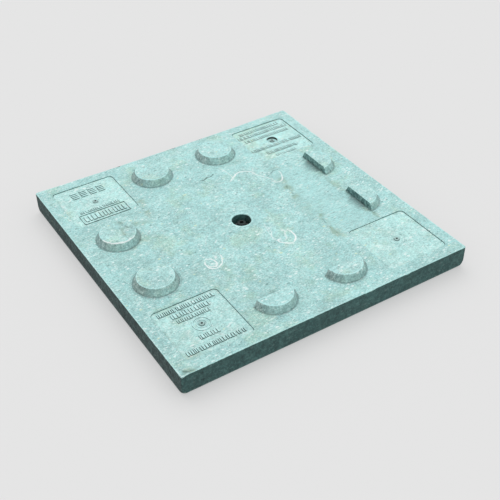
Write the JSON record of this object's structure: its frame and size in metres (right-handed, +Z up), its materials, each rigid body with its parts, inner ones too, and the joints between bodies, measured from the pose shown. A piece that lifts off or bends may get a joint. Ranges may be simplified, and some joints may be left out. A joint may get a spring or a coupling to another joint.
{
  "type": "recycled plastic manhole cover plate",
  "caption": "Square recycled-plastic cover slab, stud side up, with raised round and half-round locating studs, recessed marking plates in its corners and a captive central lifting pin.",
  "frame": {"origin": "centre of the slab's road face, which is the lowest face as the cover lies stud side up", "axes": "+Z up, out of the stud side; +X towards the side with the half studs that face the middle; +Y towards the side with the full studs; the other half studs are on -Y"},
  "size_m": [0.8, 0.8, 0.08],
  "materials": {
    "slab_plastic": "matt, flecked recycled granulate, dusty",
    "stud_plastic": "matt, flecked recycled granulate, dusty",
    "plate_plastic": "matt, flecked recycled granulate with raised marks",
    "zinc_steel": "zinc plated, dulled and dusty",
    "dark_steel": "blackened steel, slightly rusted",
    "insert_brass": "plain",
    "seal_rubber": "matt"
  },
  "bodies": {
    "cover": {"slab": "slab_plastic", "full_stud_left_front": "stud_plastic", "full_stud_left_back": "stud_plastic", "full_stud_back_left": "stud_plastic", "full_stud_back_right": "stud_plastic", "half_stud_right_back": "stud_plastic", "half_stud_right_front": "stud_plastic", "half_stud_front_right": "stud_plastic", "half_stud_front_left": "stud_plastic", "marking_plate_front_left": "plate_plastic", "marking_plate_back_left": "plate_plastic", "marking_plate_back_right": "plate_plastic", "marking_plate_front_right": "plate_plastic", "plate_screws": "zinc_steel", "screw_inserts": "insert_brass", "reinforcing_bars_lower": "dark_steel", "reinforcing_bars_upper": "dark_steel", "spreader_washer": "zinc_steel", "guide_bush": "zinc_steel", "wiper_seal": "seal_rubber"},
    "lifting_pin": {"lifting_screw": "dark_steel", "stop_washer": "zinc_steel", "lifting_head": "dark_steel", "head_pin": "zinc_steel"}
  },
  "joints": [
    {"name": "lifting_pin_slide", "type": "slide", "parent": "cover", "child": "lifting_pin", "axis": [0, 0, -1], "range_m": [0, 0.0125]}
  ]
}
